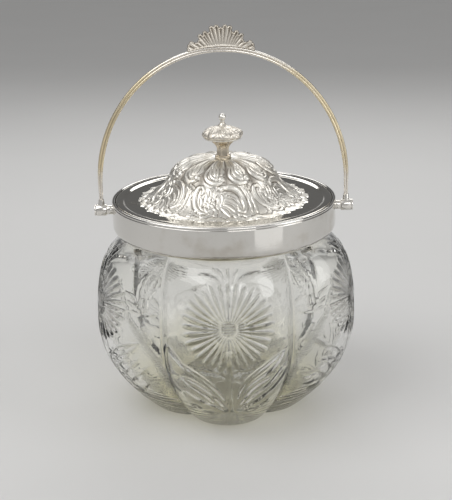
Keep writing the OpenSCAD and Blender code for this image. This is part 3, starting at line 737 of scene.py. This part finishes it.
def fan_crest():
    columns, rows = 230, 34
    centre = BAIL_H + BAIL_W / 2 - FAN_DROP
    reach = FAN_DROP + CREST_H
    half_fan = np.array(FAN) * (FAN_SPREAD, reach)
    lean, tip = np.vstack([(half_fan * (-1, 1))[:0:-1], half_fan]).T
    tip = tip - RIB_TIP_R
    outermost = FAN_SPREAD + np.degrees(asin(RIB_TIP_R / tip[-1])) - 0.3
    # The saddle follows the arch's outer edge
    arch = arch_point(np.linspace(0.3, pi - 0.3, 200), np.full(200, BAIL_W / 2 + SOLDER_GAP))
    arch_lean = np.degrees(np.arctan2(arch[:, 0], arch[:, 1] - centre))[::-1]
    arch_far = np.hypot(arch[:, 0], arch[:, 1] - centre)[::-1]

    def outline(a):
        d = np.radians(a[:, None] - lean[None, :])
        aside = tip * np.sin(d)
        round_tip = tip * np.cos(d) + np.sqrt(np.clip(RIB_TIP_R ** 2 - aside ** 2, 0, None))
        round_tip = np.where(np.abs(aside) < RIB_TIP_R, round_tip, 0)
        web = np.interp(a, lean, tip) - 0.2
        return np.maximum(round_tip.max(axis=1), np.where(np.abs(a) <= FAN_SPREAD, web, 0))

    def saddle_r(a):
        return np.interp(a, arch_lean, arch_far)

    def edge_r(a):
        return np.maximum(outline(a), saddle_r(a) + 0.4)

    sweep = np.linspace(-outermost, outermost, 460)
    edge = np.r_[saddle_r(sweep[:1]), edge_r(sweep), saddle_r(sweep[-1:])]
    sweep = np.radians(np.r_[sweep[:1], sweep, sweep[-1:]])
    edge = np.stack([edge * np.sin(sweep), edge * np.cos(sweep), np.ones(len(edge))], axis=1)
    hollows = np.r_[-HOLLOWS[:0:-1], HOLLOWS] * FAN_SPREAD

    def place(u, v):
        # Over the front from the saddle to the outline, then back down the rear
        a = (2 * u - 1) * outermost
        near, far = saddle_r(a), edge_r(a)
        v2 = 1 - np.abs(2 * v - 1)
        up = np.sin(v2 * pi / 2)
        r = near + (far - near) * up
        x, z = r * np.sin(np.radians(a)), r * np.cos(np.radians(a))
        # Hollow petals between sharp ribs, inside a raised rim
        d = np.abs(a[:, None] - hollows[None, :]).min(axis=1)
        petal = np.cos(np.clip(d / HOLLOW_W, 0, 1) * pi)
        from_edge = off_line(x, z, edge)
        rim = RIM_T * np.exp(-((from_edge - RIM_IN) / RIM_W) ** 2)
        saddle = SADDLE_T * np.exp(-((r - near) / SADDLE_W) ** 2)
        half = PETAL_T - HOLLOW_T * petal * rise(r, 9, 14) * (0.7 + 0.5 * rise(r / far, 0.6, 0.92))
        half = np.maximum(half, np.maximum(rim, saddle)) * np.sqrt(np.clip(from_edge / 0.5, 0, 1))
        half = np.where(r < near + 0.05, SADDLE_T, half)
        half = np.where((v == 0.5) | (np.abs(a) > outermost - 1e-6), 0, half)
        y = np.where(v < 0.5, -1, 1) * half
        return np.stack([x, y, PIVOT_Z + centre + z], axis=1), (half - 0.82) * 0.40

    return sewn(columns, 2 * rows, place, ("relief",))


piece(fan_crest(), "crest_fan", "handle", ["bail_crest"], CAST, sharp=60)

# ---------- Lid ----------

DOME_H, DOME_SHOULDER_R, DOME_FOOT_R, FINIAL_SEAT_R = 24.2, 29.8, 47.5, 6
LID_R, LID_T = 62.35, 0.9
BORDER_W, BORDER_H, BORDER_SLOPE, BORDER_BEVEL = 5, 1.8, 1.2, 0.5
STUD_HOLE_R = 1.6
SKIRT = DOME_FOOT_R - DOME_SHOULDER_R
# Down the outside of the dome: radius, height, and how deep the creases between the gadroons are there
DOME_SHAPE = eased([
    (FINIAL_SEAT_R, DOME_H, 0), (0.37 * DOME_SHOULDER_R, 1.045 * DOME_H, 0.5),
    (0.64 * DOME_SHOULDER_R, DOME_H, 1), (0.87 * DOME_SHOULDER_R, 0.875 * DOME_H, 1),
    (DOME_SHOULDER_R, 0.71 * DOME_H, 0.9), (DOME_FOOT_R - 0.89 * SKIRT, 0.545 * DOME_H, 0.5),
    (DOME_FOOT_R - 0.68 * SKIRT, 0.33 * DOME_H, 0), (DOME_FOOT_R - 0.35 * SKIRT, 0.15 * DOME_H, 0),
    (DOME_FOOT_R, LID_T, 0)], 12)
DOME = DOME_SHAPE[:, :2]
DOME_RUN = lengths_along(DOME)
GADROONS, GADROON_DEPTH, GADROON_TURN = 12, 1.4, -12
GADROON, PANEL = 360 / GADROONS, 60
LID_COLUMNS, DOME_ROWS, UNDER_ROWS = 600, 0.44, 2.6


def dome_r(run):
    return np.interp(run, DOME_RUN, DOME[:, 0])


# Raised work on the dome: height, vein, then (angle, run down the dome, half width)
# On each gadroon, from its crown: a medallion that ends in a knob, with a shell of leaves in it
MEDALLION = [
    (0.5, 0.3, [(-7.4, 15.6, 0.3), (-6, 20, 0.7), (-2.8, 22.8, 0.85), (1.4, 24, 0.85), (4.6, 23.2, 0.4)]),
    (0.45, 0.3, [(-2.6, 14.4, 0.3), (-0.5, 18.5, 1.0), (1.4, 21.6, 0.5)]),
    (0.45, 0.3, [(2.8, 14.2, 0.3), (4.1, 18.3, 0.9), (4.3, 21, 0.4)]),
    (0.5, 0.3, [(8, 13.6, 0.3), (9.7, 17.8, 1.1), (8.8, 20.8, 0.6)]),
    (0.85, 0.35, [(-9.3, 14.5, 0.4), (-12, 20, 0.9), (-9.7, 23.5, 1.05), (-5.1, 25.8, 1.2), (0.9, 27, 1.25),
                  (6.4, 26.2, 1.2), (9.2, 24.4, 1.0)]),
    (1.0, 0.0, [(9, 23.5, 1.55), (9.1, 24, 1.6)]),
]
# Round the skirt in panels, from the front
SCROLLS = [
    # A cluster of leaves
    (0.5, 0.3, [(-14.5, 30.4, 0.4), (-12.6, 33, 1.1), (-14, 35.8, 0.4)]),
    (0.5, 0.3, [(-10.6, 29.9, 0.4), (-9.2, 32.6, 1.0), (-10.2, 35.2, 0.4)]),
    (0.5, 0.3, [(-18.2, 32.2, 0.4), (-17.6, 35.4, 1.1), (-19, 38.4, 0.4)]),
    (0.5, 0.3, [(-22.6, 35, 0.4), (-21, 38, 1.1), (-21, 40.8, 0.4)]),
    (0.5, 0.3, [(-7, 33.4, 0.4), (-6, 36.5, 1.1), (-7, 39.6, 0.4)]),
    (0.5, 0.3, [(-2.6, 33, 0.4), (-1.6, 36, 0.9), (-3.4, 39.4, 0.4)]),
    (0.5, 0.3, [(-17.4, 41, 0.4), (-14.6, 43, 1.1), (-11.6, 42.6, 0.4)]),
    (0.5, 0.3, [(-9.6, 41, 0.4), (-7, 43.6, 1.1), (-8.4, 46.8, 0.5)]),
    (0.5, 0.3, [(-4.6, 42.4, 0.4), (-3.6, 45.6, 1.1), (-5, 48.6, 0.4)]),
    # Leaves inside the large scroll
    (0.5, 0.3, [(0, 32.6, 0.4), (6.5, 33, 0.8), (11, 34.8, 0.8), (13, 38, 0.4)]),
    (0.5, 0.3, [(0.6, 35.6, 0.4), (6, 36.6, 1.1), (10.4, 39.2, 0.5)]),
    (0.5, 0.3, [(-1, 38.8, 0.4), (4.4, 40.5, 1.1), (8, 44, 0.5)]),
    (0.5, 0.3, [(-2.6, 41.6, 0.4), (0.6, 43.8, 1.2), (3.4, 47.6, 0.5)]),
    # Blades between the scrolls
    (0.45, 0.5, [(21.5, 31, 0.4), (23, 38, 1.1), (21, 46, 0.4)]),
    (0.45, 0.5, [(26, 33, 0.4), (26.3, 40, 1.0), (24.6, 47, 0.4)]),
    # Leaves along the foot
    (0.55, 0.3, [(-12.6, 47, 0.5), (-15.4, 48.4, 1.1), (-18.4, 48.2, 0.4)]),
    (0.55, 0.3, [(-24, 45.8, 0.5), (-26, 48, 1.2), (-28.8, 48.8, 0.4)]),
    (0.55, 0.3, [(6, 46, 0.5), (8, 48.4, 1.2), (11, 49.2, 0.4)]),
    (0.55, 0.3, [(13, 47, 0.5), (15.8, 48.4, 1.1), (18.6, 48.2, 0.4)]),
    # A scroll with a curl at its top, and the large scroll that faces it
    (0.95, 0.3, [(-22.3, 33.3, 0.7), (-21.4, 31, 0.8), (-23.7, 29.2, 0.9), (-27.4, 29.6, 1.0),
                 (-29.4, 32, 1.2), (-29.2, 35.5, 1.35), (-26.9, 39.5, 1.4), (-23.2, 43, 1.35),
                 (-18.2, 45.2, 1.1), (-12.6, 45.8, 0.6)]),
    (1.0, 0.3, [(-4, 29.6, 1.2), (-0.6, 28.9, 1.3), (4, 28.8, 1.6), (9.5, 29.6, 1.65), (13.7, 31.5, 1.6),
                (16.5, 35, 1.55), (17.4, 39, 1.45), (16.5, 42.6, 1.3), (13.7, 44.4, 1.1), (11.4, 43, 0.9),
                (11.2, 41, 0.7)]),
    (1.1, 0.0, [(-4.6, 29.7, 1.4), (-4.4, 30, 1.45)]),
]
RELIEF, FLUTES_H = 0.8, 0.55
EDGE_RUN, EDGE_H, EDGE_CUT = 53.6, 0.5, 0.3
# Flowers and beads on the skirt: angle, run and size
ROSETTES = [(-13.4, 38.8, 1.3), (26.4, 30.4, 0.6), (22.4, 29, 0.5), (-24.6, 45, 0.6), (10.8, 46.6, 0.6)]


def creases(angle, share):
    """Depth of the creases between the gadroons, at a share of their full depth."""
    return GADROON_DEPTH * share * (1 - np.abs(np.cos(np.radians(GADROONS * (angle - GADROON_TURN) / 2))))


def leafy_edge(angle):
    """The run at which the chased work ends, in large and small leaf tips that reach out over the brim."""
    large, small = [np.abs(np.sin(np.radians(angle * count))) for count in (12, 27)]
    return EDGE_RUN - 1.5 * large - 0.9 * small


def dome_relief(angle, run):
    """Height of the chased work over the dome."""
    r = dome_r(run)
    from_crown = angle - GADROON_TURN
    # Three flutes on each gadroon, from the finial out to the medallions
    flute = GADROON / 3
    flutes = FLUTES_H * (bead(folded(from_crown, flute) / flute * 1.9) - 0.8)
    height = flutes * rise(run, 0.3, 4) * (1 - rise(run, 12, 16))
    # A leafy edge along the foot
    edge = leafy_edge(angle)
    height = height + EDGE_H * rise(run, edge - 3.4, edge - 1.2) * (1 - rise(run, edge - 0.1, edge + 0.5))
    height = height - EDGE_CUT * np.exp(-((run - edge + 3.8) / 0.4) ** 2)
    for tall, vein, stroke in MEDALLION:
        height = laid_on(height, off_stroke(from_crown, run, r, stroke, GADROON, dome_r), tall, vein)
    for tall, vein, stroke in SCROLLS:
        height = laid_on(height, off_stroke(angle, run, r, stroke, PANEL, dome_r), tall, vein)
    for turn, down, size in ROSETTES:
        x = np.radians(folded(angle - turn, PANEL)) * r
        out, way = np.hypot(x, run - down), np.arctan2(x, run - down)
        height = laid_on(height, out / (size * (1.9 + 0.7 * np.cos(6 * way))), 0.6)
        height = laid_on(height, out / (0.8 * size), 0.8)
    return RELIEF * height


def chased_lid():
    # The leaves along the foot reach out over the brim
    edge_r = EDGE_RUN - DOME_RUN[-1] + DOME_FOOT_R + 0.6
    top = respaced(np.vstack([DOME, [(edge_r, LID_T)]]), lambda run: DOME_ROWS)
    brim_r = LID_R - BORDER_W
    brim = np.array([
        (brim_r - 3, LID_T), (brim_r - 0.3, LID_T), (brim_r, LID_T + 0.08),
        (brim_r + 0.35, LID_T + 0.4), (brim_r + BORDER_SLOPE, BORDER_H - 0.06),
        (brim_r + BORDER_SLOPE + 0.5, BORDER_H), (LID_R - BORDER_BEVEL - 0.4, BORDER_H),
        (LID_R - BORDER_BEVEL, BORDER_H - 0.05), (LID_R - 0.1, BORDER_H - BORDER_BEVEL + 0.1),
        (LID_R, BORDER_H - BORDER_BEVEL), (LID_R, 0.15), (LID_R - 0.15, 0), (DOME_FOOT_R + 0.4, 0)])
    under = respaced(beside(DOME, LID_T), lambda run: UNDER_ROWS)[1:-1][::-1]
    start = np.array([(STUD_HOLE_R, DOME_H), (FINIAL_SEAT_R - 0.5, DOME_H)])
    close = np.array([(FINIAL_SEAT_R, DOME_H - LID_T), (STUD_HOLE_R, DOME_H - LID_T), (STUD_HOLE_R, DOME_H)])
    side = np.vstack([start, top, brim, under, close])
    reach = beside(side, -1) - side
    run = np.full(len(side), -1.0)
    run[len(start):len(start) + len(top)] = lengths_along(top)
    # The creases show inside the dome too
    inner_run = lengths_along(under[::-1])[::-1]
    crease_share = np.interp(run, DOME_RUN, DOME_SHAPE[:, 2]) * (run >= 0)
    crease_share[-len(under) - len(close):-len(close)] = -np.interp(
        inner_run * DOME_RUN[-1] / inner_run.max(), DOME_RUN, DOME_SHAPE[:, 2])

    def place(u, v):
        row, angle = row_at(v, side), u * 360 - 180
        relief = np.where(run[row] >= 0, dome_relief(angle, np.maximum(run[row], 0)), 0)
        height = relief - creases(angle, crease_share[row])
        r, z = (side[row] + height[:, None] * reach[row]).T
        points = around(angle, r, SEAT_Z + z)
        chased = np.where(run[row] >= 0, run[row] < leafy_edge(angle) + 0.4, side[row, 0] < DOME_FOOT_R)
        return points, relief - 0.15 * creases(angle, np.maximum(crease_share[row], 0)), 1.0 - chased

    return sewn(LID_COLUMNS, len(side) - 1, place, ("relief", "polish"))


piece(chased_lid(), "lid_chased_dome", "lid", ["lid_cover"], CHASED, sharp=50)

# ---------- Finial ----------

CAP_Z, CAP_H, CAP_R = 160.7, 8.8, 11.7
CAP_LOBES, CAP_VALLEY, CAP_TURN, CAP_NECK_R = 8, 1.3, 10, 1.4
# Share of the crown's radius and of the height, then how deep the valleys are there
CAP_SIDE = np.array([
    (0.93, 0, 1), (0.98, 0.05, 1), (1, 0.135, 1), (0.98, 0.25, 1), (0.92, 0.36, 1), (0.81, 0.46, 1),
    (0.65, 0.55, 0.9), (0.46, 0.63, 0.6), (0.29, 0.71, 0.3), (0.185, 0.81, 0),
    (CAP_NECK_R / CAP_R, 0.92, 0), (CAP_NECK_R / CAP_R, 1, 0)]) * (CAP_R, CAP_H, 1)
# On each lobe, from its crown: a curled leaf, a blade beside it and a knob above
CAP_RELIEF = 0.6
CAP_CHASING = [
    (0.35, 0.3, [(18.5, 1.8, 0.3), (21.5, 4.2, 0.7), (22, 7.4, 0.4)]),
    (0.4, 0.3, [(-3, 9.4, 0.3), (0, 11, 0.6), (3, 12.6, 0.3)]),
    (0.6, 0.3, [(-16, 8.6, 0.4), (-14.5, 5.4, 0.8), (-7, 3, 0.95), (3, 2.6, 1.1), (10.5, 4.6, 1.15),
                (9, 7.2, 1.0), (2, 7.8, 0.8), (-2.5, 6.4, 0.6)]),
    (0.5, 0.0, [(21.5, 9.6, 0.7), (21.6, 9.9, 0.7)]),
]


def scrolled_cap():
    curve = eased(CAP_SIDE, 8)
    offset = lobe_offset(CAP_LOBES, 1 - CAP_VALLEY / CAP_R)
    line = np.vstack([[[0, 0, 0]], curve, [[0, CAP_H, 0]]])
    run = lengths_along(line[:, :2])
    run -= run[1]
    reach = beside(line[:, :2], 1) - line[:, :2]

    def radius_at(s):
        return np.interp(s, run, line[:, 0])

    def place(u, v):
        row, angle = row_at(v, line), u * 360 - 180
        from_crown, down = angle - CAP_TURN, run[row]
        height = np.zeros(angle.shape)
        for tall, vein, stroke in CAP_CHASING:
            share = off_stroke(from_crown, down, line[row, 0], stroke, 360 / CAP_LOBES, radius_at)
            height = laid_on(height, share, tall, vein, cut=0.22)
        height = CAP_RELIEF * height * rise(down, 0.2, 1.2) * (1 - rise(down, 9.8, 11.5))
        r = line[row, 0] * lobe_share(from_crown, CAP_LOBES, offset * line[row, 2]) + height * reach[row, 0]
        return around(angle, r, CAP_Z + line[row, 1] + height * reach[row, 1]), height

    return sewn(288, len(line) - 1, place, ("relief",))


STEM_Z, STEM_H, STEM_FLUTES, FLUTE_DEPTH = 150.2, 9.7, 8, 0.15
# Up the stem: share of its height and radius over the edges between the flutes
STEM_SIDE = [(0, 3.95), (0.2, 3.7), (0.42, 3.65), (0.56, 4.1), (0.68, 5), (0.82, 6.4), (0.95, 7.1), (1, 7.2)]


def fluted_stem():
    side = eased([(r, share * STEM_H) for share, r in STEM_SIDE], 5)
    side = np.vstack([[(STUD_HOLE_R, 0)], side, [(STUD_HOLE_R, STEM_H), (STUD_HOLE_R, 0)]])
    flutes = np.where(side[:, 0] > STUD_HOLE_R, FLUTE_DEPTH, 0)

    def place(u, v):
        row, angle = row_at(v, side), 360 * u
        # One flute faces the front
        r = side[row, 0] * (1 - flutes[row] * np.abs(np.cos(np.radians(angle * STEM_FLUTES / 2))))
        return (around(angle, r, STEM_Z + side[row, 1]),)

    return sewn(96, len(side) - 1, place)


BALL_R, BALL_UP, BALL_NECK_R = 2.1, 2.52, 1.15


def top_ball():
    """A smooth ball on a neck that is narrower than the cap's."""
    a = np.linspace(-np.arccos(BALL_NECK_R / BALL_R), pi / 2, 20)
    ball = np.stack([BALL_R * np.cos(a), BALL_UP + BALL_R * np.sin(a)], axis=1)
    side = np.vstack([[(0, -0.2), (BALL_NECK_R, -0.2), (BALL_NECK_R, 0.4)], ball]) + (0, CAP_Z + CAP_H)
    return sewn(48, len(side) - 1, lambda u, v: (around(360 * u, *side[row_at(v, side)].T),))


piece(scrolled_cap(), "finial_scrolled_cap", "lid", ["finial_cap"], CAST, sharp=60)
piece(top_ball(), "finial_top_ball", "lid", ["finial_ball"], SATIN)
piece(fluted_stem(), "finial_fluted_stem", "lid", ["finial_stem"], BRONZED, sharp=35)
for node, name, width, body, slot, finish in [
    ("finial_foot_ring", "finial_foot", 0.2, "lid", "cast_silver", BRONZED),
    ("finial_cap_plate", "finial_underplate", 0.15, "lid", "cast_silver", SATIN),
    ("finial_stud", "under_stud", 0.1, "lid", "steel", STEEL),
    ("finial_washer", "under_washer", 0.1, "lid", "steel", STEEL),
    ("finial_nut", "under_nut", 0.1, "lid", "steel", STEEL),
    ("collar_seat_ring", "seat_ring", 0.1, "jar", "plate_worn", WORN_PLATE),
    ("lid_flange", "locating_flange", 0.1, "lid", "plate_worn", WORN_PLATE),
]:
    piece(eased_edges(node, width), name, body, [node], finish)
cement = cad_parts["neck_cement"].data
cement.materials.clear()
cement.materials.append(PLASTER)

# ---------- Floor, light and camera ----------

FLOOR_R = 8
PALE, PALER = (0.63, 0.625, 0.615), (0.66, 0.655, 0.645)


def pale_floor():
    bm = bmesh.new()
    bmesh.ops.create_circle(bm, cap_ends=True, segments=96, radius=FLOOR_R)
    mesh = bpy.data.meshes.new("floor")
    bm.to_mesh(mesh)
    bm.free()
    p = material("pale_floor")
    colour = p.blend((p.noise(6, 3.0) + 0.5).clipped(), PALE, PALER)
    mesh.materials.append(p.surface(Base_Color=colour, Roughness=0.8))
    floor = bpy.data.objects.new("floor", mesh)
    bpy.context.scene.collection.objects.link(floor)


def soft_box(name, place, aim, size, power):
    light = bpy.data.lights.new(name, "AREA")
    light.shape, light.size, light.size_y = "RECTANGLE", *size
    light.energy = power
    lamp = bpy.data.objects.new(name, light)
    lamp.visible_camera = False
    lamp.location = place
    lamp.rotation_euler = (Vector(aim) - Vector(place)).to_track_quat("-Z", "Y").to_euler()
    bpy.context.scene.collection.objects.link(lamp)


# The surround's greys from the horizon up, before the jar and behind it: share of the way up, and grey
GREYS_BEFORE = [(0.0, 0.55), (0.1, 0.45), (0.45, 0.3), (0.8, 0.5)]
GREYS_BEHIND = [(0.0, 0.55), (0.05, 0.5), (0.16, 0.14), (0.45, 0.12), (0.8, 0.5)]


def studio_world():
    """A soft surround: pale at the level of the floor and overhead, and dark half way up behind the jar."""
    p = Paint(bpy.data.worlds.new("studio"))
    bpy.context.scene.world = p.owner
    way = p.node("TexCoord", {}, [], "Generated")
    up = p.part("Z", way)
    before = p.node("ValToRGB", {"stops": GREYS_BEFORE}, [up])
    behind = p.node("ValToRGB", {"stops": GREYS_BEHIND}, [up])
    light = p.blend(p.part("Y", way).rise(-0.4, 0.2), before, behind)
    light = p.node("Background", {}, {"Color": light, "Strength": 1.0})
    p.node("OutputWorld", {}, {"Surface": light})


# The camera's place in mm, its turn to the right, its tilt down and its roll in radians
EYE, LENS = (-9.82, -616.9, 296.3), 79.5
YAW, PITCH, ROLL = 0.0171, 0.3186, -0.0186


def camera():
    """A camera in front of the jar that looks a little down into it."""
    forward = Vector((sin(YAW) * cos(PITCH), cos(YAW) * cos(PITCH), -sin(PITCH)))
    right = Vector((cos(YAW), -sin(YAW), 0))
    up = right.cross(forward)
    right, up = right * cos(ROLL) + up * sin(ROLL), up * cos(ROLL) - right * sin(ROLL)
    data = bpy.data.cameras.new("camera")
    data.sensor_width, data.lens = 36, LENS
    data.clip_start, data.clip_end = 0.01, 30
    made = bpy.data.objects.new("camera", data)
    turned_to = Matrix((right, up, -forward)).transposed().to_4x4()
    made.matrix_world = Matrix.Translation(Vector(EYE) * MM) @ turned_to
    bpy.context.scene.collection.objects.link(made)
    bpy.context.scene.camera = made


pale_floor()
studio_world()
soft_box("key", (-0.55, -0.25, 0.9), (0, 0, 0.1), (0.8, 0.8), 4.4)
soft_box("front", (0.35, -1.1, 0.85), (0, 0, 0.15), (0.6, 0.4), 2.6)
soft_box("fill", (0.8, -0.3, 0.5), (0, 0, 0.1), (0.4, 0.8), 2.2)
soft_box("back", (0.1, 0.75, 0.7), (0, 0, 0.12), (0.9, 0.35), 2.6)
soft_box("low_right", (0.26, -0.3, 0.12), (0, 0, 0.1), (0.2, 0.24), 0.045)
camera()
bpy.context.scene.view_settings.view_transform = "Standard"

bpy.context.view_layer.update()
